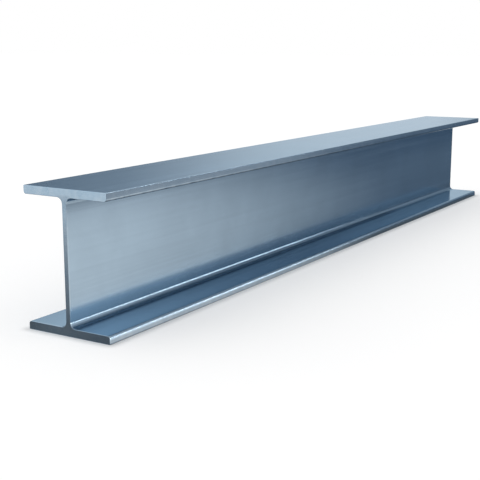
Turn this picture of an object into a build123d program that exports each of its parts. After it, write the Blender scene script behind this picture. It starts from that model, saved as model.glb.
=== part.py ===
from build123d import *
import os

# A hot-rolled wide-flange steel beam of the 360 x 122 kg/m size, sawn to length, lying on its bottom flange.
# Origin: middle of the length and of the width, on the floor. +X along the beam, +Y across it, +Z up.

# Driving dimensions in millimetres
beam_length = 2700.0
section_depth = 363.0
flange_width = 257.0
flange_thickness = 21.7
web_thickness = 13.0
root_radius = 16.0
toe_radius = 7.0
corner_radius = 1.5
saw_edge_break = 0.8

# Two places closer than this count as the same place
same_place = 0.01


def lies_at(value, *places):
    return any(abs(value - place) < same_place for place in places)


def sharp_outline():
    """The three plates of the section before their corners are rounded: two parallel flanges and the web."""
    flange_centre = (section_depth - flange_thickness) / 2
    flanges = [
        Pos(0, side * flange_centre) * Rectangle(flange_width, flange_thickness)
        for side in (-1, 1)
    ]
    web = Rectangle(web_thickness, section_depth - flange_thickness)
    return web + flanges


def rolled_section():
    """The section as the rolls leave it, with hollow roots beside the web and rounded flange edges."""
    outline = sharp_outline()
    half_depth = section_depth / 2
    web_face = web_thickness / 2

    roots = [corner for corner in outline.vertices() if lies_at(abs(corner.X), web_face)]
    outline = fillet(roots, root_radius)

    # The flange edges are rounded more on the side that faces the web, where the rolls part
    inner_face = half_depth - flange_thickness
    toes = [corner for corner in outline.vertices() if lies_at(abs(corner.X), flange_width / 2)
            and lies_at(abs(corner.Y), inner_face)]
    outline = fillet(toes, toe_radius)

    outer = [corner for corner in outline.vertices() if lies_at(abs(corner.X), flange_width / 2)
             and lies_at(abs(corner.Y), half_depth)]
    return fillet(outer, corner_radius)


def sawn_beam():
    """The section drawn out to the beam's length, with the burr of the saw taken off both ends."""
    end_plane = Plane.YZ.offset(-beam_length / 2)
    section = end_plane * Pos(0, section_depth / 2) * rolled_section()
    beam = extrude(section, beam_length)
    end_faces = beam.faces().filter_by(Axis.X)
    return chamfer(end_faces.edges(), saw_edge_break)


os.makedirs("parts", exist_ok=True)
export_step(sawn_beam(), "parts/i_beam.step")
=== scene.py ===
import math
import bpy
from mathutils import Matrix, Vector


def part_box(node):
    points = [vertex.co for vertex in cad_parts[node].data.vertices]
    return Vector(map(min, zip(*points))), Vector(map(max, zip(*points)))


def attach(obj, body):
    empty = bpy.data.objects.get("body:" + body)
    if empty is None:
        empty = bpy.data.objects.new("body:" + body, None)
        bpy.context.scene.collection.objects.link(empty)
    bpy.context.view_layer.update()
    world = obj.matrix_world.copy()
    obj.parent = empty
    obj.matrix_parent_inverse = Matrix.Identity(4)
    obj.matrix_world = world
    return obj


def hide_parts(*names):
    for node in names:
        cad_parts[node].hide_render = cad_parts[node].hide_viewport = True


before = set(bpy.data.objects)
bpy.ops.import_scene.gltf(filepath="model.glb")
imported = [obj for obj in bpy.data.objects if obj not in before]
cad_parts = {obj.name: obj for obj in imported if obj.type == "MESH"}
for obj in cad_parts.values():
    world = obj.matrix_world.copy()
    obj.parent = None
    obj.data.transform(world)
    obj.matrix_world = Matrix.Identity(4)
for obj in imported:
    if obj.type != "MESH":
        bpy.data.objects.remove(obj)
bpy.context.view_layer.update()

# The beam
# One bar of hot-rolled structural steel: two parallel flanges joined by a web, drawn out by the rolls in one
# straight run and sawn to length. The rolls leave hollow roots, rounded toes and a faint grain along the bar,
# and handling rubs the flange edges and the sawn arrises bright.

beam_low, beam_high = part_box("i_beam")
beam_length = beam_high.x - beam_low.x
section_depth = beam_high.z - beam_low.z
flange_width = beam_high.y - beam_low.y
flange_thickness = 0.0217
web_thickness = 0.0130
root_radius = 0.0160
toe_radius = 0.0070
corner_radius = 0.0015
saw_edge_break = 0.0008
arc_steps = 12
length_steps = 31


def node_in(tree, kind, **settings):
    """A new node of that kind in the tree. Settings are its own properties."""
    node = tree.nodes.new(kind)
    for name, value in settings.items():
        setattr(node, name, value)
    return node


def join(tree, source, socket):
    """Links the source to the socket, or sets the socket where the source is a plain value."""
    if isinstance(source, bpy.types.NodeSocket):
        tree.links.new(source, socket)
    else:
        socket.default_value = source


def feed(tree, node, **values):
    """Sets or links the node's inputs. A name's underscores stand for spaces."""
    for name, value in values.items():
        join(tree, value, node.inputs[name.replace("_", " ")])
    return node


def maths(tree, operation, *terms):
    """One Math node over the terms, which are numbers or sockets."""
    node = node_in(tree, "ShaderNodeMath", operation=operation)
    for socket, term in zip(node.inputs, terms):
        join(tree, term, socket)
    return node.outputs[0]


def parts_of(tree, vector):
    """The vector's X, Y and Z."""
    node = node_in(tree, "ShaderNodeSeparateXYZ")
    tree.links.new(vector, node.inputs[0])
    return node.outputs


def sweep_tree():
    """Geometry Nodes for a rolled section: twelve corners, rounded, and swept along a straight line."""
    tree = bpy.data.node_groups.new("rolled section", "GeometryNodeTree")
    sockets = {
        "Float": ("Length", "Depth", "Flange Width", "Flange Thickness", "Web Thickness",
                  "Root Radius", "Toe Radius", "Corner Radius"),
        "Int": ("Arc Steps", "Length Steps"),
        "Material": ("Rolled Faces", "Sawn Faces"),
    }
    for kind, labels in sockets.items():
        for label in labels:
            tree.interface.new_socket(label, in_out="INPUT", socket_type="NodeSocket" + kind)
    tree.interface.new_socket("Geometry", in_out="OUTPUT", socket_type="NodeSocketGeometry")
    sizes = node_in(tree, "NodeGroupInput").outputs
    link = tree.links.new

    across = {}
    for plate, width in (("flange", sizes["Flange Width"]), ("web", sizes["Web Thickness"])):
        across[plate] = [maths(tree, "MULTIPLY", width, half) for half in (0.5, -0.5)]
    # The sweep lays the outline's own Y axis downwards, so heights count as negative
    floor_level = 0.0
    lower_inside = maths(tree, "MULTIPLY", sizes["Flange Thickness"], -1.0)
    top = maths(tree, "MULTIPLY", sizes["Depth"], -1.0)
    upper_inside = maths(tree, "ADD", sizes["Flange Thickness"], top)

    # One side of the section from the floor up, then the other side from the top down
    rising = [
        ("flange", floor_level, "Corner Radius"),
        ("flange", lower_inside, "Toe Radius"),
        ("web", lower_inside, "Root Radius"),
        ("web", upper_inside, "Root Radius"),
        ("flange", upper_inside, "Toe Radius"),
        ("flange", top, "Corner Radius"),
    ]
    corners = [(0, *corner) for corner in rising] + [(1, *corner) for corner in reversed(rising)]

    index = node_in(tree, "GeometryNodeInputIndex").outputs[0]
    places = node_in(tree, "GeometryNodeIndexSwitch", data_type="VECTOR")
    radii = node_in(tree, "GeometryNodeIndexSwitch", data_type="FLOAT")
    for switch in (places, radii):
        while len(switch.index_switch_items) < len(corners):
            switch.index_switch_items.new()
        link(index, switch.inputs["Index"])
    for number, (side, plate, height, radius) in enumerate(corners):
        place = feed(tree, node_in(tree, "ShaderNodeCombineXYZ"), X=across[plate][side], Y=height)
        link(place.outputs[0], places.inputs[number + 1])
        link(sizes[radius], radii.inputs[number + 1])

    loose_points = feed(tree, node_in(tree, "GeometryNodeMeshLine"), Count=len(corners))
    outline = feed(tree, node_in(tree, "GeometryNodeMeshToCurve"), Mesh=loose_points.outputs[0])
    corner_places = feed(tree, node_in(tree, "GeometryNodeSetPosition"),
                         Geometry=outline.outputs[0], Position=places.outputs[0])
    closed = feed(tree, node_in(tree, "GeometryNodeSetSplineCyclic"), Cyclic=True)
    link(corner_places.outputs[0], closed.inputs[0])
    rounded = feed(tree, node_in(tree, "GeometryNodeFilletCurve", mode="POLY"), Limit_Radius=False,
                   Curve=closed.outputs[0], Radius=radii.outputs[0], Count=sizes["Arc Steps"])

    run = node_in(tree, "GeometryNodeCurvePrimitiveLine")
    for end, half in (("Start", -0.5), ("End", 0.5)):
        place = feed(tree, node_in(tree, "ShaderNodeCombineXYZ"),
                     X=maths(tree, "MULTIPLY", sizes["Length"], half))
        link(place.outputs[0], run.inputs[end])
    stations = feed(tree, node_in(tree, "GeometryNodeResampleCurve"),
                    Curve=run.outputs[0], Count=sizes["Length Steps"])
    swept = feed(tree, node_in(tree, "GeometryNodeCurveToMesh"), Fill_Caps=True,
                 Curve=stations.outputs[0], Profile_Curve=rounded.outputs[0])
    outwards = feed(tree, node_in(tree, "GeometryNodeFlipFaces"), Mesh=swept.outputs[0])

    # The sawn ends are the faces that look along the beam
    end_facing = 0.5
    along = maths(tree, "ABSOLUTE", parts_of(tree, node_in(tree, "GeometryNodeInputNormal").outputs[0])["X"])
    is_end = node_in(tree, "FunctionNodeCompare", data_type="FLOAT", operation="GREATER_THAN")
    join(tree, along, is_end.inputs[0])
    join(tree, end_facing, is_end.inputs[1])
    plain = node_in(tree, "GeometryNodeRealizeInstances")
    link(outwards.outputs[0], plain.inputs[0])
    rolled = feed(tree, node_in(tree, "GeometryNodeSetMaterial"),
                  Geometry=plain.outputs[0], Material=sizes["Rolled Faces"])
    sawn = feed(tree, node_in(tree, "GeometryNodeSetMaterial"),
                Geometry=rolled.outputs[0], Selection=is_end.outputs[0], Material=sizes["Sawn Faces"])
    link(sawn.outputs[0], node_in(tree, "NodeGroupOutput").inputs[0])
    return tree


def spread(tree, value, low, high, to_low=0.0, to_high=1.0):
    """The value, with low to high carried smoothly to to_low to to_high."""
    node = node_in(tree, "ShaderNodeMapRange", interpolation_type="SMOOTHSTEP")
    feed(tree, node, Value=value, From_Min=low, From_Max=high, To_Min=to_low, To_Max=to_high)
    return node.outputs[0]


def noise(tree, where, low, high, to_low=0.0, **values):
    """Noise at that place, with its own middle part, low to high, carried smoothly to to_low to 1."""
    texture = feed(tree, node_in(tree, "ShaderNodeTexNoise"), Vector=where, **values)
    return spread(tree, texture.outputs[0], low, high, to_low)


def diagonal(tree, first, second):
    """The diagonal over two distances at right angles."""
    squares = maths(tree, "MULTIPLY_ADD", first, first, maths(tree, "MULTIPLY", second, second))
    return maths(tree, "SQRT", squares)


def blended(tree, under, over, share):
    """The colour under, with that share of the colour over."""
    mix = node_in(tree, "ShaderNodeMix", data_type="RGBA")
    return feed(tree, mix, Factor=share, A=under, B=over).outputs["Result"]


def shader_group(name, vectors, floats, results):
    """An empty shader node group with those vector and float inputs, and those float results."""
    tree = bpy.data.node_groups.new(name, "ShaderNodeTree")
    for label in vectors:
        tree.interface.new_socket(label, in_out="INPUT", socket_type="NodeSocketVector")
    for label in floats:
        tree.interface.new_socket(label, in_out="INPUT", socket_type="NodeSocketFloat")
    for label in results:
        tree.interface.new_socket(label, in_out="OUTPUT", socket_type="NodeSocketFloat")
    return tree, node_in(tree, "NodeGroupInput").outputs, node_in(tree, "NodeGroupOutput").inputs


def drawn_lines_group():
    """Fine parallel lines, long in the Stretch direction. Stretch holds repeats a metre for each axis."""
    tree, given, result = shader_group("drawn lines", ["Vector", "Stretch"], [], ["Lines"])
    stretched = node_in(tree, "ShaderNodeVectorMath", operation="MULTIPLY")
    join(tree, given["Vector"], stretched.inputs[0])
    join(tree, given["Stretch"], stretched.inputs[1])
    lines = noise(tree, stretched.outputs[0], low=0.25, high=0.75, Scale=1.0, Detail=4.0, Roughness=0.65)
    join(tree, lines, result["Lines"])
    return tree


def mill_grain_group():
    """The fine tooth of rolled steel, and the broad soft clouds of its thin blue skin."""
    tree, given, result = shader_group("mill grain", ["Vector"], ["Grain Size"], ["Grain", "Clouds"])
    grains_a_metre = maths(tree, "DIVIDE", 1.0, given["Grain Size"])
    clouds_a_metre = 5.0
    grain = noise(tree, given["Vector"], low=0.2, high=0.8, Scale=grains_a_metre, Detail=2.0, Roughness=0.6)
    clouds = noise(tree, given["Vector"], low=0.3, high=0.7, Scale=clouds_a_metre, Detail=3.0,
                   Roughness=0.55, Distortion=0.3)
    join(tree, grain, result["Grain"])
    join(tree, clouds, result["Clouds"])
    return tree


def edge_wear_group():
    """A mask that is 1 on the flanges' long edges and on the sawn arrises, and broken by small patches."""
    sizes = ["Half Length", "Half Width", "Reach"]
    tree, given, result = shader_group("edge wear", ["Vector"], sizes, ["Worn"])
    place = parts_of(tree, given["Vector"])
    masks = []
    for axis, half in (("X", "Half Length"), ("Y", "Half Width")):
        from_edge = maths(tree, "SUBTRACT", given[half], maths(tree, "ABSOLUTE", place[axis]))
        reached = maths(tree, "DIVIDE", from_edge, given["Reach"])
        masks.append(spread(tree, reached, 0.0, 1.0, to_low=1.0, to_high=0.0))
    patches_a_metre = 45.0
    patches = noise(tree, given["Vector"], low=0.35, high=0.65, to_low=0.25, Scale=patches_a_metre,
                    Detail=4.0, Roughness=0.7)
    nearest = maths(tree, "MAXIMUM", *masks)
    join(tree, maths(tree, "MULTIPLY", nearest, patches), result["Worn"])
    return tree


def painted_shade_group():
    """Masks for painted shade in the four roots and on what faces down. In Root is 1 in the four roots. Under
    is
    for what faces down: 1 along the flange edges, and Flat Share on the flats between them."""
    sizes = ["Half Web", "Half Width", "Depth", "Flange Thickness", "Reach", "Flat Share"]
    tree, given, result = shader_group("painted shade", ["Vector", "Normal"], sizes, ["In Root", "Under"])
    place = parts_of(tree, given["Vector"])
    out = maths(tree, "ABSOLUTE", place["Y"])

    # The painted root shade reaches further up the web than out over the flange, and ends at the flange's own
    # faces
    web_weight = 2.0
    full_part = 0.3
    from_web = maths(tree, "MULTIPLY", maths(tree, "SUBTRACT", out, given["Half Web"]), web_weight)
    above_flange = maths(tree, "SUBTRACT", place["Z"], given["Flange Thickness"])
    below_top = maths(tree, "SUBTRACT", given["Depth"], place["Z"])
    below_flange = maths(tree, "SUBTRACT", below_top, given["Flange Thickness"])
    from_flange = maths(tree, "MINIMUM", above_flange, below_flange)
    away = maths(tree, "DIVIDE", diagonal(tree, from_web, from_flange), given["Reach"])
    near_root = spread(tree, away, full_part, 1.0, to_low=1.0, to_high=0.0)
    between_flanges = spread(tree, from_flange, low=-0.008, high=-0.002)
    join(tree, maths(tree, "MULTIPLY", between_flanges, near_root), result["In Root"])

    # Full over the toe, and down to the flat's share a little way in from it
    down = spread(tree, parts_of(tree, given["Normal"])["Z"], low=-0.05, high=-0.45)
    from_edge = maths(tree, "SUBTRACT", given["Half Width"], out)
    share = spread(tree, from_edge, low=0.007, high=0.022, to_low=1.0, to_high=given["Flat Share"])
    join(tree, maths(tree, "MULTIPLY", down, share), result["Under"])
    return tree


drawn_lines = drawn_lines_group()
mill_grain = mill_grain_group()
edge_wear = edge_wear_group()
painted_shade = painted_shade_group()


def placed(tree, group, **values):
    """The outputs of the group, placed in the tree with its inputs set or linked."""
    return feed(tree, node_in(tree, "ShaderNodeGroup", node_tree=group), **values).outputs


grazing_tint = (0.70, 0.80, 0.86, 1)
rubbed_colour = (0.55, 0.65, 0.74, 1)
# The dark colour of painted shade, and below, how much of it lies in the roots and on faces that look down
painted_shade_colour = (0.06, 0.09, 0.13, 1)
tone_swing = 0.06
cloud_share = 0.6
line_share = 0.4
rubbed_share = 0.5
root_reach = 0.045
root_shade = 0.25
underside_shade = 0.9
flat_share = 0.4
line_rough = 0.05
grain_rough = 0.03
root_rough = 0.03
grain_depth = 0.000004


def steel(name, colour, roughness, stretch, line_depth, grain_size, wear_reach, wear_rough):
    """Bare steel under a thin blue skin, with painted shade. wear_rough is what rubbing adds to the
    roughness.
    """
    material = bpy.data.materials.new(name)
    material.use_nodes = True
    tree = material.node_tree
    surface = feed(tree, tree.nodes["Principled BSDF"], Metallic=1.0, Specular_Tint=grazing_tint)
    where = node_in(tree, "ShaderNodeTexCoord").outputs["Object"]
    facing = node_in(tree, "ShaderNodeNewGeometry").outputs["Normal"]

    lines = placed(tree, drawn_lines, Vector=where, Stretch=stretch)["Lines"]
    mill = placed(tree, mill_grain, Vector=where, Grain_Size=grain_size)
    worn = placed(tree, edge_wear, Vector=where, Half_Length=beam_length / 2, Half_Width=flange_width / 2,
                  Reach=wear_reach)["Worn"]
    # Masks for the painted shade in the roots and on faces that look down
    skin = placed(tree, painted_shade, Vector=where, Normal=facing, Half_Web=web_thickness / 2,
                  Half_Width=flange_width / 2, Depth=section_depth, Flange_Thickness=flange_thickness,
                  Reach=root_reach, Flat_Share=flat_share)

    # Darker and lighter clouds and lines of the same blue, then painted shade, then the rubbed edges
    darker = (*[(1 - tone_swing) * part for part in colour], 1)
    lighter = (*[(1 + tone_swing) * part for part in colour], 1)
    tone = maths(tree, "MULTIPLY", mill["Clouds"], cloud_share)
    mottled = blended(tree, darker, lighter, maths(tree, "MULTIPLY_ADD", lines, line_share, tone))
    in_root = maths(tree, "MULTIPLY", skin["In Root"], root_shade)
    under = maths(tree, "MULTIPLY", skin["Under"], underside_shade)
    with_painted_shade = blended(tree, mottled, painted_shade_colour, maths(tree, "MAXIMUM", in_root, under))
    rubbed = blended(tree, with_painted_shade, rubbed_colour, maths(tree, "MULTIPLY", worn, rubbed_share))

    # Lines, grain and the roots are rougher than the plain skin
    rough = maths(tree, "MULTIPLY_ADD", lines, line_rough, roughness - (line_rough + grain_rough) / 2)
    rough = maths(tree, "MULTIPLY_ADD", mill["Grain"], grain_rough, rough)
    rough = maths(tree, "MULTIPLY_ADD", skin["In Root"], root_rough, rough)
    rough = maths(tree, "MULTIPLY_ADD", worn, wear_rough, rough)

    height = maths(tree, "MULTIPLY", lines, line_depth)
    height = maths(tree, "MULTIPLY_ADD", mill["Grain"], grain_depth, height)
    bump = feed(tree, node_in(tree, "ShaderNodeBump"), Strength=1.0, Distance=1.0, Height=height)
    feed(tree, surface, Base_Color=rubbed, Roughness=rough, Normal=bump.outputs[0])
    return material


rolled_steel = steel("rolled_steel", colour=(0.405, 0.53, 0.645), roughness=0.16, stretch=(0.8, 90.0, 90.0),
                     line_depth=0.00001, grain_size=0.0016, wear_reach=0.007, wear_rough=-0.01)
sawn_steel = steel("sawn_steel", colour=(0.38, 0.53, 0.67), roughness=0.22, stretch=(1.0, 12.0, 700.0),
                   line_depth=0.00002, grain_size=0.0012, wear_reach=0.002, wear_rough=-0.04)

beam = bpy.data.objects.new("rolled_beam", bpy.data.meshes.new("rolled_beam"))
bpy.context.scene.collection.objects.link(beam)
sweep = beam.modifiers.new("rolled section", "NODES")
sweep.node_group = sweep_tree()
beam_sizes = {
    "Length": beam_length,
    "Depth": section_depth,
    "Flange Width": flange_width,
    "Flange Thickness": flange_thickness,
    "Web Thickness": web_thickness,
    "Root Radius": root_radius,
    "Toe Radius": toe_radius,
    "Corner Radius": corner_radius,
    "Arc Steps": arc_steps,
    "Length Steps": length_steps,
    "Rolled Faces": rolled_steel,
    "Sawn Faces": sawn_steel,
}
for socket in sweep.node_group.interface.items_tree:
    if socket.in_out == "INPUT":
        sweep[socket.identifier] = beam_sizes[socket.name]
broken_arris = beam.modifiers.new("broken arris", "BEVEL")
broken_arris.width = saw_edge_break
broken_arris.segments = 2
broken_arris.limit_method = "ANGLE"
broken_arris.angle_limit = math.radians(60)
broken_arris.use_clamp_overlap = False
broken_arris.material = 1
level_faces = beam.modifiers.new("level faces", "WEIGHTED_NORMAL")
level_faces.keep_sharp = True
depsgraph = bpy.context.evaluated_depsgraph_get()
shape = bpy.data.meshes.new_from_object(beam.evaluated_get(depsgraph), depsgraph=depsgraph)
beam.modifiers.clear()
beam.data = shape
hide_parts("i_beam")
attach(beam, "root")

# The floor
# A plain white sheet, larger than the view, that takes the beam's soft shadow. A little light of its own, for
# the camera and in reflections, keeps the rest of it white, and fades out close to the beam, so that the beam
# stands in a narrow shade.

floor_half = 60.0
floor_colour = (0.8, 0.8, 0.8, 1)
floor_lift = 0.37
contact_lift = 0.3 * floor_lift
contact_reach = 0.03


def set_piece(name, corners, faces):
    """An object for the set, with its own mesh."""
    mesh = bpy.data.meshes.new(name)
    mesh.from_pydata(corners, [], faces)
    piece = bpy.data.objects.new(name, mesh)
    bpy.context.scene.collection.objects.link(piece)
    return piece


def rectangle(low_x, low_y, high_x, high_y, height=0.0):
    """The four corners of a level rectangle."""
    flat = [(low_x, low_y), (high_x, low_y), (high_x, high_y), (low_x, high_y)]
    return [(x, y, height) for x, y in flat]


def seen_directly(tree):
    """1 for camera, glossy and transmission rays, and 0 for the rays that only light things."""
    path = node_in(tree, "ShaderNodeLightPath")
    seen = maths(tree, "MAXIMUM", path.outputs["Is Camera Ray"], path.outputs["Is Glossy Ray"])
    return maths(tree, "MAXIMUM", seen, path.outputs["Is Transmission Ray"])


def white_floor():
    """Matt white, with its own light by the distance from the beam's footprint."""
    paint = bpy.data.materials.new("white_floor")
    paint.use_nodes = True
    tree = paint.node_tree
    matt = feed(tree, tree.nodes["Principled BSDF"], Base_Color=floor_colour, Roughness=1.0,
                Specular_IOR_Level=0.0)
    place = parts_of(tree, node_in(tree, "ShaderNodeTexCoord").outputs["Object"])
    clear = []
    for axis, half in (("X", beam_length / 2), ("Y", flange_width / 2)):
        beyond = maths(tree, "SUBTRACT", maths(tree, "ABSOLUTE", place[axis]), half)
        clear.append(maths(tree, "MAXIMUM", beyond, 0.0))
    lift = spread(tree, diagonal(tree, *clear), 0.0, contact_reach, contact_lift, floor_lift)
    glow = feed(tree, node_in(tree, "ShaderNodeEmission"),
                Strength=maths(tree, "MULTIPLY", seen_directly(tree), lift))
    both = node_in(tree, "ShaderNodeAddShader")
    join(tree, matt.outputs[0], both.inputs[0])
    join(tree, glow.outputs[0], both.inputs[1])
    join(tree, both.outputs[0], tree.nodes["Material Output"].inputs["Surface"])
    return paint


floor = set_piece("floor", rectangle(-floor_half, -floor_half, floor_half, floor_half), [(0, 1, 2, 3)])
floor.data.materials.append(white_floor())

# The light
# A white room, and one very wide soft lamp high behind the beam, which lays the shadow on the near side. A
# long low strip lamp, well off in front and to the right, draws the bright line in the lower root and along
# the lower flange's toe.

room_level = 0.68
world = bpy.data.worlds.new("white_room")
bpy.context.scene.world = world
world.use_nodes = True
room_tree = world.node_tree
level = feed(room_tree, node_in(room_tree, "ShaderNodeMapRange"), Value=seen_directly(room_tree),
             To_Min=room_level, To_Max=1.0)
feed(room_tree, room_tree.nodes["Background"], Color=(1, 1, 1, 1), Strength=level.outputs[0])


def hang_lamp(lamp, away_from_beam):
    """An object for the lamp, turned to shine against the direction in which it stands off."""
    holder = bpy.data.objects.new(lamp.name, lamp)
    holder.rotation_euler = Vector(away_from_beam).to_track_quat("Z", "Y").to_euler()
    bpy.context.scene.collection.objects.link(holder)
    return holder


soft_lamp = bpy.data.lights.new("wide_soft_lamp", "SUN")
soft_lamp.energy = 0.55
soft_lamp.angle = math.radians(60)
soft_holder = hang_lamp(soft_lamp, (-0.25, 0.75, 1.0))
soft_holder.visible_glossy = False

strip_place = (6.8, -6.2, 0.26)
strip_aim = (0.0, 0.0, 0.1)
strip = bpy.data.lights.new("low_strip_lamp", "AREA")
strip.shape = "RECTANGLE"
strip.size = 4.2
strip.size_y = 0.45
strip.energy = 46.0
strip_holder = hang_lamp(strip, Vector(strip_place) - Vector(strip_aim))
strip_holder.location = strip_place
strip_holder.visible_camera = False

# The grey cloths, and sheets of painted shadow and glow
# Steel shows what stands round it, so the set is hung with grey cloths, as it is for a catalogue picture: a
# curtain in a ring, a sheet on the floor before the beam and a low board far off at the right. Two sheets on
# the floor paint the beam's shadow, along its foot and off its near end, and a narrow card along the lower
# flange glows brighter than white for a highlight. Only reflections see them.

white = (1.0, 1.0, 1.0)
cool_white = (0.96, 1.0, 1.04)
warm_white = (1.0, 0.97, 0.94)
# The card's light below is brighter than white: it glows for a painted highlight
card_glow = (1.55, 1.57, 1.6)
worn_white = (0.98, 0.92, 0.88)
blue_grey = (0.07, 0.11, 0.165)
# The foot and end greys below are painted shadow of the beam
foot_shadow_grey = (0.10, 0.11, 0.12)
end_shadow_grey = (0.07, 0.076, 0.085)
just_above_floor = 0.001
board_height = 1.3


def hang_reflected_sheet(name, corners, faces, darkness, light=white, dark=blue_grey):
    """A cloth, or a sheet of painted shadow or glow, that only reflections see. darkness makes the nodes that
    give 0, light, to 1, dark.
    """
    dye = bpy.data.materials.new(name)
    dye.use_nodes = True
    tree = dye.node_tree
    tree.nodes.remove(tree.nodes["Principled BSDF"])
    place = parts_of(tree, node_in(tree, "ShaderNodeTexCoord").outputs["Object"])
    tint = blended(tree, (*light, 1), (*dark, 1), darkness(tree, *place))
    look = feed(tree, node_in(tree, "ShaderNodeEmission"), Color=tint)
    join(tree, look.outputs[0], tree.nodes["Material Output"].inputs["Surface"])
    cloth = set_piece(name, corners, faces)
    cloth.data.materials.append(dye)
    cloth.visible_camera = False
    cloth.visible_diffuse = False
    cloth.visible_transmission = False
    cloth.visible_shadow = False


def heading_ramp(tree, turn, stops):
    """Darkness by heading, from (degrees, darkness) stops. turn runs from 0 to 1 for -180 to 180 degrees."""
    node = node_in(tree, "ShaderNodeValToRGB")
    ramp = node.color_ramp
    while len(ramp.elements) < len(stops):
        ramp.elements.new(0.5)
    for element, (degrees, dark) in zip(ramp.elements, stops):
        element.position = (degrees + 180) / 360
        element.color = (dark, dark, dark, 1)
    join(tree, turn, node.inputs[0])
    return node.outputs["Color"]


# Each fold is a heading in degrees, where 0 is the beam's far end, and how dark the curtain is there
foot_folds = [(-180, 0.1), (-90, 0.3), (-60, 0.1), (-48, 0.3), (-40, 0.42), (-36, 0.6), (-31, 0.8),
              (-26, 0.82), (-21, 0.68), (-17, 0.5), (-11, 0.7), (0, 0.9), (10, 0.65), (18, 0.2), (25, 0.22),
              (29, 0.28), (33, 0.4), (37, 0.6), (42, 0.83), (50, 0.95), (75, 0.4), (110, 0.1), (180, 0.1)]
head_folds = [(-180, 0.1), (-90, 0.2), (-60, 0.0), (-46, 0.0), (-41, 0.2), (-37, 0.6), (-33, 0.84),
              (-28, 0.86), (-18, 0.7), (-10, 0.85), (-3, 0.75), (4, 0.5), (12, 0.25), (20, 0.08), (36, 0.0),
              (46, 0.05), (60, 0.1), (180, 0.1)]
crown_folds = [(-180, 0.1), (-60, 0.1), (-46, 0.2), (-38, 0.5), (-31, 0.76), (-27, 0.82), (-23, 0.93),
               (-18, 0.95), (-10, 0.3), (-4, 0.0), (20, 0.0), (180, 0.1)]
curtain_radius = 12.0
curtain_height = 12.5
curtain_panels = 96
head_starts, head_full = 2.2, 4.6
crown_starts, crown_full = 6.5, 8.5
crown_ends = 10.5


def curtain_darkness(tree, x, y, z):
    """One set of folds at the foot of the curtain, another at its head and a third at its crown."""
    turn = maths(tree, "MULTIPLY_ADD", maths(tree, "ARCTAN2", y, x), 0.5 / math.pi, 0.5)
    up = spread(tree, z, head_starts, head_full)
    foot = maths(tree, "MULTIPLY", heading_ramp(tree, turn, foot_folds), maths(tree, "SUBTRACT", 1.0, up))
    head = maths(tree, "MULTIPLY", heading_ramp(tree, turn, head_folds), up)
    under_crown = spread(tree, z, crown_starts, crown_full, to_low=1.0, to_high=0.0)
    below = maths(tree, "MULTIPLY", maths(tree, "ADD", foot, head), under_crown)
    in_crown = spread(tree, z, crown_starts, crown_full)
    crown = maths(tree, "MULTIPLY", heading_ramp(tree, turn, crown_folds), in_crown)
    under_rail = spread(tree, z, crown_ends, curtain_height, to_low=1.0, to_high=0.0)
    return maths(tree, "MULTIPLY", maths(tree, "ADD", below, crown), under_rail)


curtain_corners = []
for height in (0.0, curtain_height):
    for panel in range(curtain_panels):
        turn = 2 * math.pi * panel / curtain_panels
        curtain_corners.append((curtain_radius * math.cos(turn), curtain_radius * math.sin(turn), height))
curtain_faces = []
for panel in range(curtain_panels):
    after = (panel + 1) % curtain_panels
    curtain_faces.append((panel, after, after + curtain_panels, panel + curtain_panels))
hang_reflected_sheet("ring_curtain", curtain_corners, curtain_faces, curtain_darkness, light=cool_white)


def front_darkness(tree, x, y, z):
    """Grows to the right, the sooner the nearer to the beam. Past about 1.3 m out it is nearly even."""
    deepest = spread(tree, x, 1.8, 3.4, to_low=0.965, to_high=1.0)
    deep = spread(tree, y, -0.6, -1.1, to_low=0.92, to_high=deepest)
    lean = -0.7
    out = maths(tree, "LOGARITHM", maths(tree, "MULTIPLY", y, -1.0), math.e)
    rightwards = maths(tree, "MULTIPLY_ADD", out, lean, x)
    near = spread(tree, rightwards, -0.95, 2.4, to_high=deep)

    bend = spread(tree, x, 1.0, 3.2, to_high=0.33)
    far_out = spread(tree, maths(tree, "ADD", y, bend), -1.14, -1.48)
    even = spread(tree, x, 0.0, 8.0, to_low=0.76, to_high=0.79)
    corner = maths(tree, "MULTIPLY", spread(tree, x, 4.5, 6.3, to_high=0.13), spread(tree, y, -1.9, -2.6))
    far = maths(tree, "MULTIPLY", maths(tree, "ADD", even, corner), far_out)
    return maths(tree, "MULTIPLY_ADD", near, maths(tree, "SUBTRACT", 1.0, far_out), far)


def card_darkness(tree, x, y, z):
    """Glowing white along the near part of the beam, and grey from a little past its middle."""
    return spread(tree, x, -0.9, 0.6)


def foot_darkness(tree, x, y, z):
    """As the front cloth, with painted shadow of the beam: grey sooner to the right, and darker in the last
    centimetre before the beam.
    """
    painted_contact_shadow = spread(tree, y, beam_low.y - 0.012, beam_low.y - 0.001, to_high=0.6)
    shaded = spread(tree, x, -1.0, 0.3, to_high=0.97)
    darkest = maths(tree, "MAXIMUM", front_darkness(tree, x, y, z), painted_contact_shadow)
    return maths(tree, "MAXIMUM", darkest, shaded)


def board_darkness(tree, x, y, z):
    """Fully dark, and a little lighter in its top part."""
    return spread(tree, z, board_height - 0.3, board_height, to_low=1.0, to_high=0.9)


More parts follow.
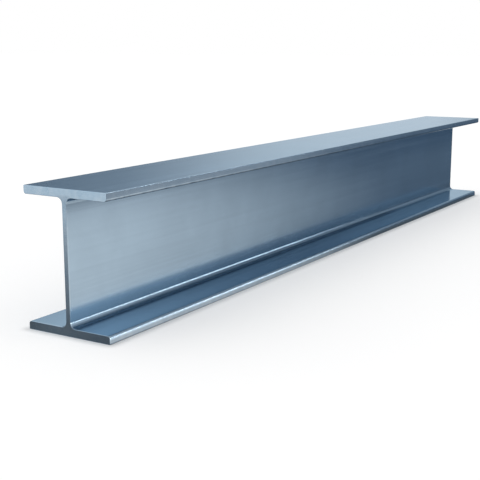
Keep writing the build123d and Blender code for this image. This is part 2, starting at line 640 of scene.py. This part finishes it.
def end_darkness(tree, x, y, z):
    """The beam's own shade off its near end. It clears with distance and away from the camera's side."""
    clearing, clearing_power = 0.4, 1.6
    lean = -0.83
    away = maths(tree, "SUBTRACT", beam_low.x, x)
    cleared = maths(tree, "MULTIPLY", maths(tree, "POWER", away, clearing_power), clearing)
    shade = maths(tree, "SUBTRACT", spread(tree, y, 0.1, -0.12, to_low=0.89, to_high=0.95), cleared)
    aside = maths(tree, "MULTIPLY_ADD", away, lean, y)
    shade = maths(tree, "ADD", shade, spread(tree, aside, 0.03, 0.25, to_high=0.12))
    return maths(tree, "MULTIPLY", shade, spread(tree, aside, 0.25, 0.9, to_low=1.0, to_high=0.25))


def lay_sheet(name, corners, darkness, **colours):
    """A cloth or sheet in one flat piece with those corners."""
    hang_reflected_sheet(name, corners, [tuple(range(len(corners)))], darkness, **colours)


cloth_left = -3.0
front_right = 9.0
front_far = -11.0
foot_width = 0.026
card_width = 0.022
card_y = beam_low.y - foot_width
front_y = card_y - card_width
front_outline = [(cloth_left, front_far), (front_right, front_far), (front_right, 0.0),
                 (beam_high.x, 0.0), (beam_high.x, front_y), (cloth_left, front_y)]
front_corners = [(x, y, just_above_floor) for x, y in front_outline]
card_corners = rectangle(cloth_left, front_y, beam_high.x, card_y, just_above_floor)
foot_corners = rectangle(cloth_left, card_y, beam_high.x, beam_low.y, just_above_floor)
lay_sheet("front_cloth", front_corners, front_darkness, light=warm_white)
# A strip that glows brighter than white, for a painted highlight along the lower flange's side
lay_sheet("glowing_card", card_corners, card_darkness, light=card_glow)
# Painted shadow of the beam along its foot, on a sheet that only reflections see
lay_sheet("foot_shadow_sheet", foot_corners, foot_darkness, light=worn_white, dark=foot_shadow_grey)

board_foot = [(8.9, -4.5), (9.9, -1.4)]
board_corners = [(x, y, 0.0) for x, y in board_foot] + [(x, y, board_height) for x, y in reversed(board_foot)]
lay_sheet("low_board", board_corners, board_darkness)

end_reach_x = -6.0
end_reach_y = 5.0
end_corners = rectangle(end_reach_x, beam_low.y, beam_low.x, end_reach_y, just_above_floor)
# Painted shadow of the beam on the floor off its near end
lay_sheet("end_shadow_sheet", end_corners, end_darkness, dark=end_shadow_grey)

# The camera
# It stands off the near end, on the side of the web that shows, and a little above the top flange. Heading
# counts from the beam's own direction, towards its far side, and tilt counts down from level.

camera_place = (-3.021, -1.517, 0.6926)
heading_degrees = 31.62
tilt_degrees = 11.53
picture_width = 480
focal_pixels = 952.1
camera_data = bpy.data.cameras.new("camera")
camera = bpy.data.objects.new("camera", camera_data)
bpy.context.scene.collection.objects.link(camera)
bpy.context.scene.camera = camera
camera_data.sensor_width = 36.0
camera_data.lens = camera_data.sensor_width * focal_pixels / picture_width
camera.location = camera_place
camera.rotation_euler = (math.radians(90 - tilt_degrees), 0, math.radians(heading_degrees - 90))
bpy.context.scene.view_settings.view_transform = "Standard"
